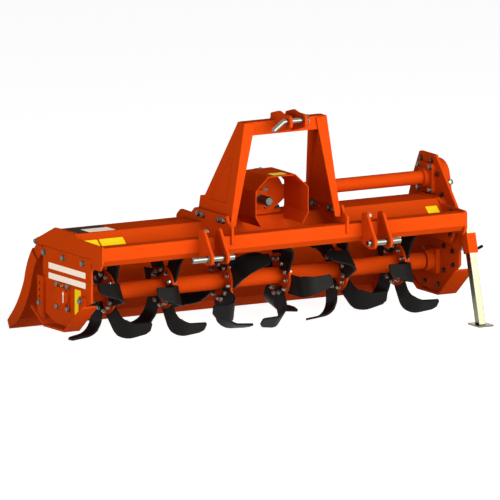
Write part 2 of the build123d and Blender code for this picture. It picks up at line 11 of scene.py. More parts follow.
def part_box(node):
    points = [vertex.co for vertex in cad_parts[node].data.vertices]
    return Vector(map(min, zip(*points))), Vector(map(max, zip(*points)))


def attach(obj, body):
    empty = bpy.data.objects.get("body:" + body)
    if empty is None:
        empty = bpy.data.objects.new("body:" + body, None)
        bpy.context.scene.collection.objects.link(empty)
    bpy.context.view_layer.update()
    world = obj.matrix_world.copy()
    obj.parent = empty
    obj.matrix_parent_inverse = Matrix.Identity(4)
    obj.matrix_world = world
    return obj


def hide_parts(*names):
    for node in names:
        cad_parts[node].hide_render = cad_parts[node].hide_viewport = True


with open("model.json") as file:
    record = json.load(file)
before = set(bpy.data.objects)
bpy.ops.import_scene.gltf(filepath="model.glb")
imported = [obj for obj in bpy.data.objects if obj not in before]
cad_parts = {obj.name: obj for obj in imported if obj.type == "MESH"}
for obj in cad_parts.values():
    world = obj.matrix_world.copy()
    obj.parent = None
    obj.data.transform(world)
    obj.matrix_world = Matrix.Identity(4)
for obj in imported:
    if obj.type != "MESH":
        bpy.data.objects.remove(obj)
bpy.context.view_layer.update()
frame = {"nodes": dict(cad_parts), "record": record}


# ---- Datum ----
# The maker measures everything from the middle of the hitch, the front face of the front beam and the
# beam's top: across, back and up.
beam_low, beam_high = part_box("front_beam")
pto_low, pto_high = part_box("pto_shaft")
DATUM = Vector(((pto_low.x + pto_high.x) / 2, beam_low.y, beam_high.z))


def at(x, y, z):
    """A place in the frame, from the maker's millimetres."""
    return DATUM + Vector((x, y, z)) / 1000


# ---- Camera and lights ----
# A long lens from the front left, a little above the deck. A large soft key light stands in front, weaker
# ones face the free end, and a small one at the front right puts glints on the plated parts.
CAMERA_TURN, CAMERA_RISE = math.radians(-30), math.radians(10)
camera_right = Vector((math.cos(CAMERA_TURN), math.sin(CAMERA_TURN), 0))
to_camera = Vector((math.sin(CAMERA_TURN) * math.cos(CAMERA_RISE),
                    -math.cos(CAMERA_TURN) * math.cos(CAMERA_RISE), math.sin(CAMERA_RISE)))
camera_up = to_camera.cross(camera_right)
VIEW_WIDTH, VIEW_RIGHT, VIEW_UP, CAMERA_DISTANCE = 1.8136, -0.01057, 0.28498, 6
camera_data = bpy.data.cameras.new("camera")
camera_data.type = "ORTHO"
camera_data.ortho_scale = VIEW_WIDTH
camera_data.clip_end = 60
camera = bpy.data.objects.new("camera", camera_data)
bpy.context.scene.collection.objects.link(camera)
camera_place = camera_right * VIEW_RIGHT + camera_up * VIEW_UP + to_camera * CAMERA_DISTANCE
camera_axes = Matrix((camera_right, camera_up, to_camera)).transposed().to_4x4()
camera.matrix_world = Matrix.Translation(camera_place) @ camera_axes
bpy.context.scene.camera = camera
bpy.context.scene.view_settings.view_transform = "Standard"

LAMP_DISTANCE = 6
LAMP_AIM = Vector((0, 0, 0.35))


def softbox(name, towards, size, strength, shadow=True):
    """A square lamp that shines on the machine's middle from that side."""
    lamp_data = bpy.data.lights.new(name, "AREA")
    lamp_data.size = size
    lamp_data.energy = strength
    lamp_data.use_shadow = shadow
    lamp = bpy.data.objects.new(name, lamp_data)
    bpy.context.scene.collection.objects.link(lamp)
    direction = Vector(towards).normalized()
    turn = direction.to_track_quat("Z", "Y").to_matrix().to_4x4()
    lamp.matrix_world = Matrix.Translation(direction * LAMP_DISTANCE + LAMP_AIM) @ turn


softbox("key_light", (0.10, -1, 0.16), 6.0, 580)
softbox("end_light", (-1, -0.10, 0.20), 3.0, 96)
# the fill light throws no shadow, so it lifts the recesses evenly
softbox("fill_light", (-1, -0.35, 0.15), 3.0, 26, shadow=False)
softbox("glint_light", (0.50, -0.82, 0.32), 1.6, 42)


# ---- Floor and backdrop ----
# A wide pale floor under a white backdrop. The camera and polished steel see both as white, and the machine
# gets only a little light from them.
class Wire:
    """A number on its way through a tree of nodes. Plain arithmetic on it adds the Math nodes."""

    def __init__(self, tree, socket):
        self.tree = tree
        self.socket = socket

    def joined(self, operation, first, second, clamp=False):
        node = self.tree.nodes.new("ShaderNodeMath")
        node.operation = operation
        node.use_clamp = clamp
        for socket, value in zip(node.inputs, (first, second)):
            if isinstance(value, Wire):
                self.tree.links.new(value.socket, socket)
            else:
                socket.default_value = value
        return Wire(self.tree, node.outputs[0])

    def __add__(self, other):
        return self.joined("ADD", self, other)

    def __radd__(self, other):
        return self.joined("ADD", other, self)

    def __sub__(self, other):
        return self.joined("SUBTRACT", self, other)

    def __rsub__(self, other):
        return self.joined("SUBTRACT", other, self)

    def __mul__(self, other):
        return self.joined("MULTIPLY", self, other)

    def __rmul__(self, other):
        return self.joined("MULTIPLY", other, self)

    def __pow__(self, other):
        return self.joined("POWER", self, other)

    def __rpow__(self, other):
        return self.joined("POWER", other, self)

    def held(self):
        """The same number kept between 0 and 1."""
        return self.joined("ADD", self, 0.0, clamp=True)


class Graph:
    """A tree of nodes."""

    def __init__(self, tree):
        self.tree = tree
        self.tree.nodes.clear()

    def node(self, kind, settings=None, sockets=None, give=0):
        """Adds a node of that kind: its settings, then what its sockets hold. Gives one of its outputs."""
        node = self.tree.nodes.new(kind)
        for key, value in (settings or {}).items():
            setattr(node, key, value)
        self.plug(node, sockets or {})
        return Wire(self.tree, node.outputs[give])

    def plug(self, node, sockets):
        """Sets a node's sockets to plain values, or links them."""
        for key, value in sockets.items():
            socket = node.inputs[key]
            if isinstance(value, Wire):
                self.tree.links.new(value.socket, socket)
            else:
                socket.default_value = value

    def end(self, kind, **sockets):
        """Closes the tree with its output node."""
        self.plug(self.tree.nodes.new(kind), sockets)


class Finish(Graph):
    """A material for one of the machine's surfaces."""

    def __init__(self, name):
        self.material = bpy.data.materials.new(name)
        self.material.use_nodes = True
        super().__init__(self.material.node_tree)

    def blend(self, share, one, other):
        """A colour between two others."""
        return self.node("ShaderNodeMix", {"data_type": "RGBA"}, {0: share, 6: one, 7: other}, give=2)

    def noise(self, scale, detail=2.0, roughness=0.5, stretch=None):
        """Soft random numbers from 0 to 1, in the machine's own coordinates."""
        where = self.node("ShaderNodeTexCoord", give="Object")
        if stretch:
            where = self.node("ShaderNodeMapping", {}, {"Vector": where, "Scale": stretch})
        return self.node("ShaderNodeTexNoise", {}, {"Vector": where, "Scale": scale, "Detail": detail,
                                                    "Roughness": roughness}, give="Fac")

    def rounded(self, radius):
        """The surface's direction with its sharp edges eased by that radius, and a mask of those edges."""
        eased = self.node("ShaderNodeBevel", {"samples": 6}, {"Radius": radius})
        true = self.node("ShaderNodeNewGeometry", give="Normal")
        match = self.node("ShaderNodeVectorMath", {"operation": "DOT_PRODUCT"}, {0: eased, 1: true},
                          give="Value")
        return eased, ((1.0 - match) * 9.0).held()

    def bumps(self, height, strength, distance, **over):
        """Small bumps on the surface, or over the Normal that is given."""
        return self.node("ShaderNodeBump", {}, {"Height": height, "Strength": strength,
                                                "Distance": distance, **over})

    def surface(self, **sockets):
        """Ends the material in the usual shader. Underscores in a socket's name stand for spaces."""
        named = {key.replace("_", " "): value for key, value in sockets.items()}
        self.end("ShaderNodeOutputMaterial", Surface=self.node("ShaderNodeBsdfPrincipled", {}, named))
        return self.material


def backdrop_share(graph):
    """1 for a ray that comes straight from the camera, off polished metal or through glass, else 0."""
    camera_ray = graph.node("ShaderNodeLightPath", give="Is Camera Ray")
    glossy_ray = graph.node("ShaderNodeLightPath", give="Is Glossy Ray")
    clear_ray = graph.node("ShaderNodeLightPath", give="Is Transmission Ray")
    return (camera_ray + glossy_ray + clear_ray).held()


WHITE = (1, 1, 1, 1)
world = bpy.data.worlds.new("studio")
world.use_nodes = True
bpy.context.scene.world = world
studio = Graph(world.node_tree)
backdrop = studio.node("ShaderNodeBackground", {}, {"Color": WHITE,
                                                    "Strength": 0.04 + 0.96 * backdrop_share(studio)})
studio.end("ShaderNodeOutputWorld", Surface=backdrop)

FLOOR_REACH = 14
floor_corners = [(x * FLOOR_REACH, y * FLOOR_REACH, 0) for x, y in ((-1, -1), (1, -1), (1, 1), (-1, 1))]
floor_mesh = bpy.data.meshes.new("floor")
floor_mesh.from_pydata(floor_corners, [], [(0, 1, 2, 3)])
floor = bpy.data.objects.new("floor", floor_mesh)
bpy.context.scene.collection.objects.link(floor)
pale = Finish("pale_floor")
floor_mesh.materials.append(pale.surface(
    Base_Color=(0.66, 0.66, 0.66, 1), Roughness=0.9, Specular_IOR_Level=0.0,
    Emission_Color=WHITE, Emission_Strength=backdrop_share(pale) * 0.90))


# ---- Painted steel ----
# Deck, beam, mast, guards, plates, rotor and hood are steel sheet, folded or welded, and powder coated in
# one bright orange. The coat has a fine orange peel, a painted highlight along sharp edges where it thins,
# painted shade in its corners and recesses, and dust low down.
def shaded(colour, share):
    """The same colour, darker or lighter by that share."""
    return tuple(min(1.0, part * share) for part in colour[:3]) + (1,)


SOIL_DUST = (0.30, 0.22, 0.15, 1)


def painted(name, colour, edge_highlight_colour, low_dust=0.0):
    """Powder coat with painted shade and edge highlight, and as much dust low down as low_dust says."""
    coat = Finish(name)
    eased, edges = coat.rounded(0.0022)
    cloud = coat.noise(5.0, 3.0)
    orange_peel = coat.noise(420.0, 1.0)
    base = coat.blend(cloud * 0.30, colour, shaded(colour, 0.80))
    # the coat is painted paler along sharp edges: a painted highlight, where the coat is also thin
    base = coat.blend(edges * 0.30, base, edge_highlight_colour)
    # recesses that the air barely reaches are painted darker: painted shade
    ao_for_painted_shade = coat.node("ShaderNodeAmbientOcclusion", {"samples": 8}, {"Distance": 0.16}, give="AO")
    base = coat.blend(((1.0 - ao_for_painted_shade) * 0.55).held(), base, shaded(colour, 0.25))
    if low_dust:
        place = coat.node("ShaderNodeTexCoord", give="Object")
        height = coat.node("ShaderNodeSeparateXYZ", {}, {0: place}, give="Z")
        lying = (1.0 - height * 7.0).held() * (coat.noise(30.0, 4.0, 0.7) ** 2.0) * low_dust
        base = coat.blend(lying, base, SOIL_DUST)
    return coat.surface(Base_Color=base, Roughness=0.36 + cloud * 0.10 + orange_peel * 0.04,
                        Specular_IOR_Level=0.0, Normal=coat.bumps(orange_peel, 0.05, 0.0006, Normal=eased))


def dress(material, nodes):
    """Gives the named CAD nodes that material all over."""
    for node in nodes:
        mesh = frame["nodes"][node].data
        mesh.materials.clear()
        mesh.materials.append(material)


def nodes_in_slot(slot):
    """The names of the CAD nodes whose finish is that slot's."""
    return [entry["node"] for entry in frame["record"]["subparts"] if entry["material_slot"] == slot]


orange_paint = painted("orange_powder_coat", (0.80, 0.073, 0.005, 1), (0.9, 0.13, 0.02, 1), 0.25)
dress(orange_paint, nodes_in_slot("orange_paint"))


# ---- Bright steel ----
# Pins, rods, the stand's leg and foot and the splined shaft are turned or drawn steel with a pale zinc
# plating. The shaft, the hinge rod and the hood's rod have lost their shine.
def plated(name, colour, dull):
    """Zinc plating with fine streaks and worn spots, at least as rough as dull says."""
    zinc = Finish(name)
    eased, edges = zinc.rounded(0.0012)
    streaks = zinc.noise(90.0, 3.0, 0.6, (1, 1, 0.12))
    spots = zinc.noise(24.0, 4.0)
    base = zinc.blend(spots * 0.35, colour, shaded(colour, 0.72))
    # edges are painted lighter: partly worn plating, partly a painted highlight
    base = zinc.blend(edges * 0.3, base, shaded(colour, 1.3))
    return zinc.surface(Base_Color=base, Roughness=dull + streaks * 0.12, Metallic=1.0,
                        Normal=zinc.bumps(streaks, 0.05, 0.0004, Normal=eased))


bright_zinc = plated("bright_zinc", (0.21, 0.207, 0.175, 1), 0.20)
dress(bright_zinc, nodes_in_slot("bright_steel"))
stand_zinc = plated("stand_zinc", (0.20, 0.198, 0.135, 1), 0.16)
dress(stand_zinc, ["stand_leg", "stand_foot"])
dull_zinc = plated("dull_zinc", (0.17, 0.17, 0.155, 1), 0.38)
dress(dull_zinc, ["hood_rod", "hinge_rod", "rod_trunnion", "oil_plug"])
dress(plated("oiled_steel", (0.10, 0.108, 0.095, 1), 0.30), ["pto_shaft"])


# ---- Stand pin ----
# The pin that locks the parking stand's leg in its sleeve is round steel bar with a black coat. The hood's
# springs have the same coat.
black_paint = painted("black_coat", (0.012, 0.012, 0.011, 1), (0.05, 0.05, 0.05, 1))
dress(black_paint, ["stand_pin"])


# ---- Weld beads ----
# The plates are joined by hand with MIG welds before the paint goes on: overlapping round ripples along
# each joint, a bead about 5 mm wide. One tree lays the ripples along any path.
def new_mesh(name, bm):
    """A mesh from bmesh data, smooth except over its sharp edges."""
    bmesh.ops.remove_doubles(bm, verts=bm.verts, dist=1e-7)
    bmesh.ops.recalc_face_normals(bm, faces=bm.faces)
    mesh = bpy.data.meshes.new(name)
    bm.to_mesh(mesh)
    bm.free()
    mesh.shade_smooth()
    mesh.set_sharp_from_angle(angle=math.radians(38))
    return mesh


def new_piece(name, mesh, body, material=None):
    """An object that rides on a body, with the given material if there is one."""
    piece = bpy.data.objects.new(name, mesh)
    bpy.context.scene.collection.objects.link(piece)
    if material:
        mesh.materials.clear()
        mesh.materials.append(material)
    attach(piece, body)
    return piece


def new_tree(name, inputs):
    """A geometry tree with named inputs from rows of (name, kind): its graph, and what the inputs give."""
    tree = bpy.data.node_groups.new(name, "GeometryNodeTree")
    graph = Graph(tree)
    for label, kind in [("Geometry", "Geometry")] + inputs:
        tree.interface.new_socket(label, in_out="INPUT", socket_type="NodeSocket" + kind)
    tree.interface.new_socket("Geometry", in_out="OUTPUT", socket_type="NodeSocketGeometry")
    entry = tree.nodes.new("NodeGroupInput")
    given = {socket.name: Wire(tree, socket) for socket in entry.outputs if socket.name}
    return graph, given


def close_tree(graph, shape, finish):
    """Makes the copies real, gives them their material and ends the tree."""
    real = graph.node("GeometryNodeRealizeInstances", {}, {"Geometry": shape})
    coloured = graph.node("GeometryNodeSetMaterial", {}, {"Geometry": real, "Material": finish})
    graph.end("NodeGroupOutput", Geometry=coloured)
    return graph.tree


def plain_mesh(source):
    """The shape that an object's modifiers or curve give, as a plain mesh."""
    return bpy.data.meshes.new_from_object(source.evaluated_get(bpy.context.evaluated_depsgraph_get()))


def grown(name, start_mesh, tree, **values):
    """Runs a tree on a mesh. Underscores in an input's name stand for spaces."""
    source = bpy.data.objects.new(name + "_source", start_mesh)
    bpy.context.scene.collection.objects.link(source)
    modifier = source.modifiers.new("grow", "NODES")
    modifier.node_group = tree
    sockets = {item.name: item.identifier for item in tree.interface.items_tree if item.in_out == "INPUT"}
    for key, value in values.items():
        modifier[sockets[key.replace("_", " ")]] = value
    mesh = plain_mesh(source)
    mesh.name = name
    source.modifiers.remove(modifier)
    bpy.data.objects.remove(source)
    return mesh


graph, given = new_tree("weld_ripples", [("Pitch", "Float"), ("Half Width", "Float"),
                                         ("Finish", "Material")])
seam = graph.node("GeometryNodeMeshToCurve", {}, {"Mesh": given["Geometry"]})
laid = graph.node("GeometryNodeResampleCurve", {"mode": "LENGTH"}, {"Curve": seam, "Length": given["Pitch"]})
ripple = graph.node("GeometryNodeMeshIcoSphere", {}, {"Radius": given["Half Width"], "Subdivisions": 1})
ripple = graph.node("GeometryNodeSetShadeSmooth", {}, {"Geometry": ripple})
along = graph.node("FunctionNodeAlignRotationToVector", {"axis": "X"},
                   {"Vector": graph.node("GeometryNodeInputTangent")})
uneven = graph.node("FunctionNodeRandomValue", {"data_type": "FLOAT"}, {2: 0.86, 3: 1.10, "Seed": 7}, give=1)
ripple_size = graph.node("ShaderNodeCombineXYZ", {}, {"X": uneven * 0.75, "Y": uneven, "Z": uneven})
ripples = graph.node("GeometryNodeInstanceOnPoints", {}, {"Points": laid, "Instance": ripple,
                                                          "Rotation": along, "Scale": ripple_size})
weld_tree = close_tree(graph, ripples, given["Finish"])

RIPPLE_PITCH, BEAD_HALF_WIDTH = 0.0028, 0.0027


def weld(name, body, paths):
    """Beads along straight runs, from lists of (x, y, z) in the maker's millimetres."""
    verts = []
    edges = []
    for path in paths:
        edges += [(len(verts) + i, len(verts) + i + 1) for i in range(len(path) - 1)]
        verts += [at(*point) for point in path]
    mesh = bpy.data.meshes.new(name + "_seams")
    mesh.from_pydata(verts, edges, [])
    beads = grown(name, mesh, weld_tree, Pitch=RIPPLE_PITCH, Half_Width=BEAD_HALF_WIDTH, Finish=orange_paint)
    new_piece(name, beads, body)


# the deck is folded at the foot and the head of its front slope and at the head of its rear slope
DECK_FOLDS = [(133, -35), (204, 22.5), (333, 22.5)]
frame_seams = []
for side in (-1, 1):
    # the mast's bases stand on the beam and on the deck's front slope
    for x in (236, 246):
        frame_seams.append([(side * x, 3, 1), (side * x, 47, 1)])
        frame_seams.append([(side * x, y, z) for y, z in [(52, -35)] + DECK_FOLDS])
    frame_seams.append([(side * 246, -1, -2), (side * 246, -1, -32)])
    # the lower link's lugs run up the beam's front face
    for x in (303.5, 313.5, 369.5, 379.5):
        frame_seams.append([(side * x, -1, 28), (side * x, -1, 0), (side * x, 0, -46)])
    # the top bracket's plates in front, the crossbar's ends, and the plates' upper edges
    for x in (26, 36):
        frame_seams.append([(side * x, 33, 364), (side * x, 33, 402)])
    frame_seams.append([(side * 164, 33.5, 401), (side * 171.5, 33.5, 356)])
    frame_seams.append([(side * 36, 36, 404), (side * 36, 75, 404)])
# the deck's sheet on its end caps and along the beam, and the gear case's plate on the drive end's cap
for x in (-776, 734):
    frame_seams.append([(x, y, z) for y, z in [(50, -35)] + DECK_FOLDS + [(462, -26.5)]])
frame_seams.append([(-770, 48, -35), (730, 48, -35)])
frame_seams.append([(765, y, z) for y, z in ((112, -3), (176, 3), (206, 21), (344, 21), (450, -25))])
weld("frame_welds", "frame", frame_seams)


def ring_seam(x, y, z, radius, steps=40):
    """A round seam about an axis across the machine."""
    turns = [2 * math.pi * i / steps for i in range(steps + 1)]
    return [(x, y + radius * math.cos(turn), z + radius * math.sin(turn)) for turn in turns]


ROTOR_Y, ROTOR_Z = 280, -218
TUBE_Y, TUBE_Z = 324, 80
FLANGE_X = [-612 + 243.2 * i for i in range(6)]
weld("rotor_welds", "rotor",
     [ring_seam(x + side * 4.5, ROTOR_Y, ROTOR_Z, 32) for x in FLANGE_X for side in (-1, 1)])
weld("drive_tube_welds", "frame",
     [ring_seam(751, TUBE_Y, TUBE_Z, 36.5), ring_seam(748.5, ROTOR_Y, ROTOR_Z, 40.5),
      ring_seam(735.5, TUBE_Y, TUBE_Z, 26)])
# one bead along the foot of each of the hood's hinge knuckles
weld("hood_welds", "hood", [[(x + 22, 490, -54), (x - 22, 490, -54)] for x in (-640, -320, 0, 320, 600)])


# ---- Fasteners ----
# Plated hexagon bolts with washers, and nuts on the threads' far side. One tree sets a fastener on each
# place, turned its own way about its axis.
def rings(bm, profile, sides, move=None):
    """A closed stack of rings about Z from rows of (radius, height)."""
    rows = []
    for radius, height in profile:
        row = [Vector((radius * math.cos(turn), radius * math.sin(turn), height))
               for turn in (2 * math.pi * i / sides for i in range(sides))]
        rows.append([bm.verts.new(move @ spot if move else spot) for spot in row])
    for low, high in zip(rows, rows[1:]):
        for i in range(sides):
            j = (i + 1) % sides
            bm.faces.new((low[i], low[j], high[j], high[i]))
    bm.faces.new(list(reversed(rows[0])))
    bm.faces.new(rows[-1])


patterns = []


def stacked(name, *stacks):
    """A pattern to copy fasteners from, made of stacks of (sides, profile) in millimetres."""
    bm = bmesh.new()
    for sides, profile in stacks:
        rings(bm, [(radius / 1000, height / 1000) for radius, height in profile], sides)
    pattern = bpy.data.objects.new(name, new_mesh(name, bm))
    bpy.context.scene.collection.objects.link(pattern)
    patterns.append(pattern)
    return pattern


WASHER = (20, [(11.6, 0), (12, 0.4), (12, 2.0), (11.5, 2.4)])
bolt_head = stacked("bolt_head", WASHER, (6, [(10.9, 2.4), (10.9, 8.6), (9.6, 9.8)]))
bolt_nut = stacked("bolt_nut", WASHER, (6, [(9.8, 2.4), (10.9, 3.4), (10.9, 11.2), (9.8, 12.2)]),
                   (12, [(5.9, 12.2), (5.9, 16), (4.9, 17)]))
graph, given = new_tree("fasteners_on_places", [("Fastener", "Object"), ("Seed", "Int"),
                                                ("Finish", "Material")])
fastener = graph.node("GeometryNodeObjectInfo", {}, {"Object": given["Fastener"]}, give="Geometry")
axis = graph.node("GeometryNodeInputNamedAttribute", {"data_type": "FLOAT_VECTOR"}, {"Name": "axis"})
size = graph.node("GeometryNodeInputNamedAttribute", {"data_type": "FLOAT"}, {"Name": "size"})
square = graph.node("FunctionNodeAlignRotationToVector", {"axis": "Z"}, {"Vector": axis})
turn = graph.node("FunctionNodeRandomValue", {"data_type": "FLOAT"},
                  {2: 0.0, 3: 6.283, "Seed": given["Seed"]}, give=1)
spin = graph.node("FunctionNodeAxisAngleToRotation", {}, {"Axis": (0, 0, 1), "Angle": turn})
turned = graph.node("FunctionNodeRotateRotation", {"rotation_space": "LOCAL"},
                    {"Rotation": square, "Rotate By": spin})
set_on = graph.node("GeometryNodeInstanceOnPoints", {}, {"Points": given["Geometry"], "Instance": fastener,
                                                         "Rotation": turned, "Scale": size})
fastener_tree = close_tree(graph, set_on, given["Finish"])


def fasten(name, body, pattern, rows, finish=bright_zinc):
    """Fasteners from rows of (x, y, z, axis, size), size 1 being an M12."""
    mesh = bpy.data.meshes.new(name + "_places")
    mesh.from_pydata([at(*row[:3]) for row in rows], [], [])
    mesh.attributes.new("axis", "FLOAT_VECTOR", "POINT")
    mesh.attributes.new("size", "FLOAT", "POINT")
    for i, row in enumerate(rows):
        mesh.attributes["axis"].data[i].vector = row[3]
        mesh.attributes["size"].data[i].value = row[4]
    made = grown(name, mesh, fastener_tree, Fastener=pattern, Seed=len(rows), Finish=finish)
    new_piece(name, made, body)


LEFT, RIGHT, FRONT, REAR, UP = (-1, 0, 0), (1, 0, 0), (0, -1, 0), (0, 1, 0), (0, 0, 1)
old_zinc = plated("used_zinc", (0.15, 0.135, 0.115, 1), 0.26)


# ---- Free end ----
# The rotor's bearing sits in a casting: a square flange with cut corners, a raised cover on it, and a round
# hub that passes through the side plate and takes the rotor's stub.
def prism(bm, outline, x0, x1, ease=0.0):
    """A plate across the machine from (back, up) points, its outer edge at x0 eased by that much."""
    middle_y = sum(y for y, z in outline) / len(outline)
    middle_z = sum(z for y, z in outline) / len(outline)
    rows = []
    for x, inset in ((x0, ease), (x0 + (ease if x1 > x0 else -ease), 0.0), (x1, 0.0)):
        row = []
        for y, z in outline:
            share = 1 - inset / math.hypot(y - middle_y, z - middle_z)
            place = at(x, middle_y + (y - middle_y) * share, middle_z + (z - middle_z) * share)
            row.append(bm.verts.new(place))
        rows.append(row)
    for near, far in zip(rows, rows[1:]):
        for i in range(len(near)):
            j = (i + 1) % len(near)
            bm.faces.new((near[i], near[j], far[j], far[i]))
    bm.faces.new(list(reversed(rows[0])))
    bm.faces.new(rows[-1])


def cut_corners(y0, y1, z0, z1, cut):
    """A rectangle's outline with its corners cut off."""
    return [(y0 + cut, z0), (y1 - cut, z0), (y1, z0 + cut), (y1, z1 - cut), (y1 - cut, z1), (y0 + cut, z1),
            (y0, z1 - cut), (y0, z0 + cut)]


SIDE_PLATE_X, CASTING_X, COVER_X = -785, -790, -799
casting = bmesh.new()
prism(casting, cut_corners(231.5, 328.5, -266.5, -169.5, 11), CASTING_X, SIDE_PLATE_X)
prism(casting, cut_corners(232, 328, -251, -184, 20), COVER_X, CASTING_X, 2.0)
hub = Matrix.Translation(at(SIDE_PLATE_X, ROTOR_Y, ROTOR_Z)) @ Matrix.Rotation(math.radians(90), 4, "Y")
rings(casting, [(0.044, 0), (0.044, 0.042), (0.043, 0.043), (0.0204, 0.043), (0.0204, 0.016)], 48, hub)
casting_piece = new_piece("bearing_casting", new_mesh("bearing_casting", casting), "frame",
                          orange_paint)
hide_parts("bearing_free")

# the side plate hangs on the end cap's flange by three bolts, carries the bearing's casting by four, and the
# skid by one at the nose bracket and one in the rear angle iron's row of holes
PLATE_BOLTS = [(y, -76) for y in (138, 279, 417)]
BEARING_BOLTS = [(276 + 38 * across, ROTOR_Z + 41 * up) for across in (-1, 1) for up in (-1, 1)]
fasten("free_end_bolts", "frame", bolt_head,
       [(SIDE_PLATE_X, y, z, LEFT, 1.0) for y, z in PLATE_BOLTS]
       + [(CASTING_X, y, z, LEFT, 0.85) for y, z in BEARING_BOLTS]
       + [(-793, 143, -215, LEFT, 1.0), (-797, 430, -262, LEFT, 0.9)], old_zinc)
fasten("free_end_nuts", "frame", bolt_nut,
       [(-769, y, z, RIGHT, 1.0) for y, z in PLATE_BOLTS]
       + [(-777, y, z, RIGHT, 0.85) for y, z in BEARING_BOLTS]
       + [(-777, 143, -215, RIGHT, 1.0)], old_zinc)

# a thin brown strip along the joint between the end cap and the side plate paints the shade line in that
# joint
JOINT_SHADE_BROWN = (0.26, 0.026, 0.003, 1)
joint_shade = bmesh.new()
prism(joint_shade, [(83, -53.7), (471, -53.7), (471, -52.5), (83, -52.5)], -785.3, -784.5)
new_piece("plate_sealer", new_mesh("plate_sealer", joint_shade), "frame",
          painted("brown_sealer", JOINT_SHADE_BROWN, JOINT_SHADE_BROWN))

# domed lock nuts close the hinge rod's ends, and each rotor bearing has a brass grease nipple
HINGE_Y, HINGE_Z = 480, -44
hinge_nut = stacked("hinge_nut", WASHER, (6, [(9.8, 2.4), (10.9, 3.4), (10.9, 9.4), (9.8, 10.2)]),
                    (16, [(7.2, 10.2), (6.6, 12.2), (4, 13.6)]))
fasten("hinge_rod_nuts", "frame", hinge_nut,
       [(-785, HINGE_Y, HINGE_Z, LEFT, 0.75), (745, HINGE_Y, HINGE_Z, RIGHT, 0.75)], old_zinc)
grease_nipple = stacked("grease_nipple", (6, [(4.6, 0), (4.6, 3.2), (4.2, 3.6)]),
                        (14, [(2.6, 3.6), (2.4, 6.4), (3.1, 7.2), (3.1, 8.4), (2.0, 9.8), (0.8, 10.2)]))
fasten("grease_nipples", "frame", grease_nipple,
       [(CASTING_X, 272, -178, LEFT, 1.25), (735, 298, -182, (0, 0.45, 0.89), 1.5)],
       plated("brass", (0.34, 0.22, 0.06, 1), 0.28))


# ---- Hood edges ----
# A narrow steel strip is welded between each end plate of the hood and its sheet, and a small gusset
# carries the sheet's corner past the deck's end plate to the hinge rod, which it hugs with a hook.
def arc_through(a, b, c, steps=8):
    """Points along the circle through three (back, up) points, the last one left out."""
    across, along = Vector(b) - Vector(a), Vector(c) - Vector(a)
    twice = 2 * (across.x * along.y - across.y * along.x)
    middle = Vector(a) + Vector((along.y * across.length_squared - across.y * along.length_squared,
                                 across.x * along.length_squared - along.x * across.length_squared)) / twice
    start = math.atan2(a[1] - middle.y, a[0] - middle.x)
    sweep = math.remainder(math.atan2(c[1] - middle.y, c[0] - middle.x) - start, 2 * math.pi)
    radius = (Vector(a) - middle).length
    turns = [start + sweep * i / steps for i in range(steps)]
    return [(middle.x + radius * math.cos(turn), middle.y + radius * math.sin(turn)) for turn in turns]


def round_hinge(radius, degrees):
    """Points round the hinge rod, at those angles."""
    turns = [math.radians(degree) for degree in degrees]
    return [(HINGE_Y + radius * math.cos(turn), HINGE_Z + radius * math.sin(turn)) for turn in turns]


sheet_side = arc_through((514.5, -86), (544, -132), (566, -200))
sheet_side += arc_through((566, -200), (600, -266), (661, -341))
sheet_side += [(661, -341), (687.5, -367.5), (673, -396.5)]
plate_side = arc_through((504, -88), (535, -136), (554, -200))
plate_side += arc_through((554, -200), (590, -269), (650, -345))
plate_side += [(650, -345), (672, -366), (664, -388)]
gusset = [(516, -87.5), (507, -74), (501, -66.8), (494.7, -59.7)]
gusset += round_hinge(13.5, (-45, -15, 15, 45, 75, 100))
gusset += round_hinge(9.2, (100, 60, 20, -20, -60, -100, -140, -175))
gusset += [(462, -52), (441, -70), (441, -84), (459, -90), (478, -112), (492, -134), (530, -112)]
hood_edges = bmesh.new()
for strip_x, gusset_x in (((-783.6, -780.4), (-776, -770.5)), ((743.6, 740.4), (734, 730.5))):
    for i in range(len(sheet_side) - 1):
        prism(hood_edges, [sheet_side[i], sheet_side[i + 1], plate_side[i + 1], plate_side[i]], *strip_x)
    prism(hood_edges, gusset, *gusset_x)
new_piece("hood_edges", new_mesh("hood_edges", hood_edges), "hood", orange_paint)


# ---- Mast and hitch fasteners ----
# Four plated bolts with nuts hold each leg to its base over a flat steel packing strip, and a short new
# bolt ties the top of each pair of lugs to the beam.
MAST_BOLTS = [(side, y) for side in (-1, 1) for y in (52, 85, 198, 234)]
fasten("mast_bolts", "frame", bolt_head, [(side * 246, y, 47, (side, 0, 0), 1.0) for side, y in MAST_BOLTS],
       old_zinc)
fasten("mast_nuts", "frame", bolt_nut,
       [(side * 220.5, y, 47, (-side, 0, 0.158), 1.0) for side, y in MAST_BOLTS], old_zinc)
packing = bmesh.new()
for side in (-1, 1):
    prism(packing, [(40, 50), (262, 50), (262, 65.5), (40, 65.5)], side * 235.9, side * 226)
new_piece("mast_packing", new_mesh("mast_packing", packing), "frame", orange_paint)
fasten("lug_bolts", "frame", bolt_nut, [(side * 341.5 - 28, -22, 28, RIGHT, 1.0) for side in (-1, 1)])


# ---- Gearbox and guard ----
# The bevel gearbox is closed by a bolted flange at the front, round covers at the sides and the back, and
# stands on the deck on four bolts. The guard hangs on it by small bolts.
def bolt_circle(count, radius, start=0.0):
    """Offsets of bolts spaced evenly round a circle."""
    turns = [start + 2 * math.pi * i / count for i in range(count)]
    return [(radius * math.cos(turn), radius * math.sin(turn)) for turn in turns]


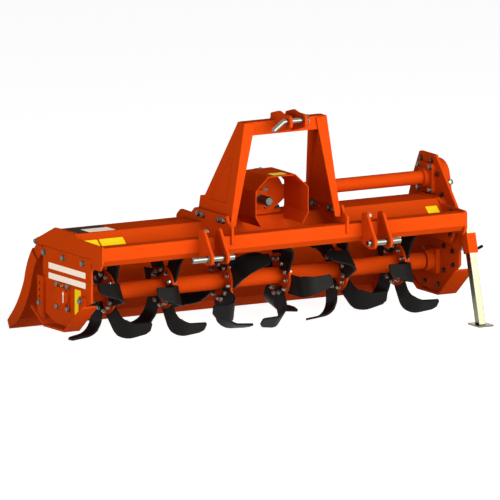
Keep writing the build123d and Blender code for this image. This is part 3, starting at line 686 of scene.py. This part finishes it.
SHAFT_Z = 82
front_bolts = [(x, 227, SHAFT_Z + z, FRONT, 0.82) for x, z in bolt_circle(4, 43, math.pi / 4)]
rear_bolts = [(x, 404, SHAFT_Z + z, REAR, 0.6) for x, z in bolt_circle(6, 37)]
side_bolts = [(-102, TUBE_Y + y, TUBE_Z + z, LEFT, 0.6) for y, z in bolt_circle(6, 35)]
fasten("gearbox_bolts", "frame", bolt_head, front_bolts + rear_bolts + side_bolts)
fasten("gearbox_foot_bolts", "frame", bolt_head,
       [(x, y, 36, UP, 1.0) for x in (-92, 92) for y in (252, 318)], old_zinc)
fasten("guard_bolts", "frame", bolt_head,
       [(-111, 205, 112, LEFT, 0.6), (111, 205, 112, RIGHT, 0.6), (-70, 205, 181.5, (-0.68, 0, 0.73), 0.6),
        (3, 216, 192, UP, 0.6)])
breather = stacked("breather", (6, [(9.5, 0), (9.5, 5), (9.0, 5.5)]),
                   (18, [(6, 5.5), (6, 8), (9.5, 9), (9.5, 14), (7.5, 16)]))
fasten("gearbox_breather", "frame", breather, [(34, 330, 146, UP, 1.0)], dull_zinc)


# ---- Gear case ----
# The side case's cover and its plate are clamped by bolts all round, and two square flanges carry the drive
# tube and the rotor's bearing. A round cap closes the oil plug's neck.
case_places = [(369, 143), (293, 145), (249.5, 100), (217, 30), (155, -10.5), (131, -114), (141, -168),
               (137, -218), (246, -304), (340, -306), (202, -157), (202, -246), (402, 60), (430, -30),
               (436, -130)]
# where the cover bulges, a bolt has no head outside
through_places = [(y, z) for y, z in case_places if math.hypot(y - TUBE_Y, z - TUBE_Z) > 76
                  and math.hypot(y - ROTOR_Y, z - ROTOR_Z) > 98]
# these heads are painted a dark orange-brown for the orange paint round them that they reflect: painted
# reflection
fasten("case_nuts", "frame", bolt_head,
       [(766, y, z, LEFT, 0.8) for y, z in case_places]
       + [(735, 101, -2, LEFT, 0.6), (735, 102, -98, LEFT, 0.75)],
       plated("browned_steel", (0.07, 0.032, 0.02, 1), 0.30))
fasten("case_bolts", "frame", bolt_head, [(776, y, z, RIGHT, 0.8) for y, z in through_places])
fasten("drive_tube_bolts", "frame", bolt_head,
       [(752, TUBE_Y + 42 * across, TUBE_Z + 42 * up, LEFT, 0.85) for across in (-1, 1) for up in (-1, 1)],
       old_zinc)
# this bolt sits in shade, and its zinc is painted far lighter than the rest to show as lit: painted light
fasten("stand_bracket_bolt", "frame", bolt_head, [(756, 49, -141, LEFT, 0.9)],
       plated("new_zinc", (0.85, 0.83, 0.76, 1), 0.30))
plug_cap = stacked("plug_cap", (16, [(7, 9.5), (7, 24), (6.5, 24.5)]),
                   (24, [(9.5, 22), (11, 24), (11, 34), (9.6, 37), (6, 38.5)]))
fasten("oil_plug_cap", "frame", plug_cap, [(802, 253, 65, (0, -0.976, 0.218), 1.0)], stand_zinc)


# ---- Rotor fasteners ----
# Each tine sits flat on its flange and is clamped by two bolts, head on the tine, nut on the flange's far
# side. The tines sit on the flange's two faces by turns.
TINES_PER_FLANGE = 6
TINE_PHASES = (-13, -25, -56, 30, 0, -25)
SHANK_HOLES = ((-44, 50), (-10, 62))
heads = []
nuts = []
for x, phase in zip(FLANGE_X, TINE_PHASES):
    for k in range(TINES_PER_FLANGE):
        side = -1 if k % 2 == 0 else 1
        lean = math.radians(180 - (phase + 360 / TINES_PER_FLANGE * k))
        for across, up in SHANK_HOLES:
            y = ROTOR_Y + across * math.cos(lean) - up * math.sin(lean)
            z = ROTOR_Z + across * math.sin(lean) + up * math.cos(lean)
            heads.append((x + side * 12, y, z, (side, 0, 0), 0.78))
            nuts.append((x - side * 4, y, z, (-side, 0, 0), 0.78))
tine_zinc = plated("tine_bolt_zinc", (0.34, 0.32, 0.28, 1), 0.22)
fasten("tine_bolts", "rotor", bolt_head, heads, tine_zinc)
fasten("tine_nuts", "rotor", bolt_nut, nuts, tine_zinc)


# ---- Tines ----
# Forged spring-steel blades in black oil, dull on the flats with dark forging scale, and worn to grey along
# the cutting edges.
OIL_BLACK = (0.0038, 0.0038, 0.0034, 1)
SCALE_GREY = (0.010, 0.0095, 0.008, 1)
WORN_GREY = (0.040, 0.038, 0.033, 1)


def forged(name):
    """Oiled forged steel, worn along its edges."""
    blade = Finish(name)
    eased, edges = blade.rounded(0.003)
    scale_marks = blade.noise(60.0, 5.0, 0.65)
    broad = blade.noise(9.0, 2.0)
    base = blade.blend(scale_marks * 0.5 + broad * 0.3, OIL_BLACK, SCALE_GREY)
    base = blade.blend(edges * 0.4, base, WORN_GREY)
    return blade.surface(Base_Color=base, Roughness=0.42 + scale_marks * 0.18, Specular_IOR_Level=0.09,
                         Normal=blade.bumps(scale_marks, 0.22, 0.0006, Normal=eased))


dress(forged("black_forged_steel"), nodes_in_slot("blade_steel"))


# ---- Hood springs ----
# Round spring wire of 6 mm in an open coil about the hood's rod, one spring each side of the trunnion,
# coated black. They hold the hood down and let it give over stones.
graph, given = new_tree("coil_spring", [("Turns", "Float"), ("Coil Radius", "Float"), ("Length", "Float"),
                                        ("Wire Radius", "Float"), ("Finish", "Material")])
helix = graph.node("GeometryNodeCurveSpiral", {}, {"Resolution": 24, "Rotations": given["Turns"],
                                                   "Start Radius": given["Coil Radius"],
                                                   "End Radius": given["Coil Radius"],
                                                   "Height": given["Length"]})
wire_section = graph.node("GeometryNodeCurvePrimitiveCircle", {}, {"Resolution": 8,
                                                                   "Radius": given["Wire Radius"]})
wound = graph.node("GeometryNodeCurveToMesh", {}, {"Curve": helix, "Profile Curve": wire_section,
                                                   "Fill Caps": True})
spring_tree = close_tree(graph, wound, given["Finish"])
COIL_PITCH, COIL_RADIUS, COIL_WIRE = 0.0088, 0.0148, 0.003
# how far along the rod each spring starts and ends, in millimetres
SPRING_RUNS = ((74, 148), (238.5, 321))
rod_top = at(0, 438, 70)
rod_run = (at(0, 585, -95) - rod_top).normalized()
rod_turn = rod_run.to_track_quat("Z", "X").to_matrix().to_4x4()
springs = bmesh.new()
for start, end in SPRING_RUNS:
    length = (end - start) / 1000 - 2 * COIL_WIRE
    start_mesh = bpy.data.meshes.new("spring_start")
    start_mesh.from_pydata([(0, 0, 0)], [], [])
    coil = grown("coil", start_mesh, spring_tree, Turns=length / COIL_PITCH, Coil_Radius=COIL_RADIUS,
                 Length=length, Wire_Radius=COIL_WIRE, Finish=black_paint)
    coil.transform(Matrix.Translation(rod_top + rod_run * (start / 1000 + COIL_WIRE)) @ rod_turn)
    springs.from_mesh(coil)
spring_piece = new_piece("hood_springs", new_mesh("hood_springs", springs), "rod",
                         black_paint)
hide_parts("rod_springs")


# ---- Linchpin ----
# A plated pin with a spring ring goes through the top link pin's end and keeps it in its bracket. Its shank
# is turned, and its ring is bent from round wire.
def bent_wire(bm, points, radius):
    """Round wire along a smooth line through the frame, from points in metres."""
    curve = bpy.data.curves.new("wire", "CURVE")
    curve.dimensions = "3D"
    curve.bevel_depth = radius
    curve.bevel_resolution = 3
    curve.use_fill_caps = True
    line = curve.splines.new("NURBS")
    line.points.add(len(points) - 1)
    for point, spot in zip(line.points, points):
        point.co = (*spot, 1)
    line.order_u = 4
    line.use_endpoint_u = True
    line.resolution_u = 5
    holder = bpy.data.objects.new("wire", curve)
    bpy.context.scene.collection.objects.link(holder)
    bm.from_mesh(plain_mesh(holder))
    bpy.data.objects.remove(holder)


RING_RADIUS, RING_WIRE = 0.0175, 0.0013
linchpin = bmesh.new()
shank = Matrix.Translation(at(43, -48, 410)) @ Matrix.Rotation(math.radians(18), 4, "X")
rings(linchpin, [(0.0024, -0.021), (0.003, -0.019), (0.003, 0.016), (0.0045, 0.017), (0.0045, 0.021),
                 (0.003, 0.022)], 12, shank)
ring_turns = [math.radians(-62 + 304 * i / 9) for i in range(10)]
ring_points = [(0.004, -RING_RADIUS * math.sin(turn), RING_RADIUS * math.cos(turn) - 0.0055)
               for turn in ring_turns]
bent_wire(linchpin, [shank @ Vector(point) for point in ring_points], RING_WIRE)
new_piece("linchpin", new_mesh("linchpin", linchpin), "frame", bright_zinc)


# ---- Bare stickers ----
# Vinyl film, a quarter of a millimetre thick, with nothing printed on it: yellow patches, a cream double
# stripe, a black and silver strip, and an arrow that shows which side is up. The pale films have a faint
# glow, which is painted light.
def film(name, colour, gloss, painted_glow=0.0):
    """Vinyl with a fine grain, a few smears, and a painted glow as strong as painted_glow says."""
    vinyl = Finish(name)
    smear = vinyl.noise(40.0, 3.0)
    grain = vinyl.noise(700.0, 1.0)
    base = vinyl.blend(smear * 0.35, colour, shaded(colour, 0.82))
    # the film's glow is painted light: no lamp is in it
    return vinyl.surface(Base_Color=base, Roughness=gloss + smear * 0.15, Specular_IOR_Level=0.01,
                         Normal=vinyl.bumps(grain, 0.03, 0.0003), Emission_Color=colour,
                         Emission_Strength=painted_glow)


FILM_GAP, FILM_THICKNESS = 0.00005, 0.00025


def sticker(bm, middle, right, up, outline, lift=0.0):
    """A film cut to an outline of (across, up) millimetres about its middle, laid on a face."""
    right, up = Vector(right).normalized(), Vector(up).normalized()
    out = right.cross(up)
    centre = at(*middle) + out * (lift + FILM_GAP)
    low = [bm.verts.new(centre + (right * a + up * b) / 1000) for a, b in outline]
    high = [bm.verts.new(corner.co + out * FILM_THICKNESS) for corner in low]
    bm.faces.new(list(reversed(low)))
    bm.faces.new(high)
    for i in range(len(low)):
        j = (i + 1) % len(low)
        bm.faces.new((low[i], low[j], high[j], high[i]))


def card(width, height, corner=3.0):
    """A rectangle's outline with rounded corners."""
    points = []
    for sx, sy, start in ((1, 1, 0), (-1, 1, 90), (-1, -1, 180), (1, -1, 270)):
        for step in range(5):
            turn = math.radians(start + 22.5 * step)
            points.append((sx * (width / 2 - corner) + corner * math.cos(turn),
                           sy * (height / 2 - corner) + corner * math.sin(turn)))
    return points


def stick(name, bm, vinyl):
    """Films of one colour on the frame, as one piece."""
    new_piece(name, new_mesh(name, bm), "frame", vinyl)


# the faces that the films lie on, just proud of the steel
PLATE_FACE_X, COVER_FACE_X, GUARD_TOP_Z, DECK_TOP_Z = -785.1, -799.1, 192.05, 21.55
SLOPE_UP = (0, 71, 57.5)
yellow = bmesh.new()
sticker(yellow, (PLATE_FACE_X, 175.5, -225.5), FRONT, UP, card(44, 94))
for x, width in ((-735, 60), (-647, 100), (694, 48)):
    sticker(yellow, (x, 161.4, -13.0), RIGHT, SLOPE_UP, card(width, 40))
sticker(yellow, (3, 93, GUARD_TOP_Z), RIGHT, REAR, card(58, 44))
stick("yellow_stickers", yellow, film("yellow_vinyl", (0.95, 0.68, 0.012, 1), 0.32, 0.22))

cream = bmesh.new()
for z in (-119, -156):
    sticker(cream, (PLATE_FACE_X, 253.5, z), FRONT, UP, card(268, 22))
HALF_SHAFT, HALF_BARB, NECK, TIP = 3.2, 7.5, 8.0, 22.0
sticker(cream, (COVER_FACE_X, 258.6, -215.7), FRONT, UP,
        [(-HALF_SHAFT, -TIP), (HALF_SHAFT, -TIP), (HALF_SHAFT, NECK), (HALF_BARB, NECK), (0, TIP),
         (-HALF_BARB, NECK), (-HALF_SHAFT, NECK)])
stick("cream_stickers", cream, film("cream_vinyl", (0.86, 0.74, 0.60, 1), 0.35, 0.42))

black = bmesh.new()
sticker(black, (-682.5, 269, DECK_TOP_Z), RIGHT, REAR, card(155, 112))
stick("black_sticker", black, film("black_vinyl", (0.016, 0.009, 0.006, 1), 0.5))
silver = bmesh.new()
sticker(silver, (-660, 245.5, DECK_TOP_Z), RIGHT, REAR, card(110, 65), 0.0003)
stick("silver_sticker", silver, film("silver_vinyl", (0.84, 0.68, 0.53, 1), 0.3, 0.40))


# ---- Closing ----
# The patterns that the fasteners were copied from aren't part of the machine and go.
for pattern in patterns:
    bpy.data.objects.remove(pattern)
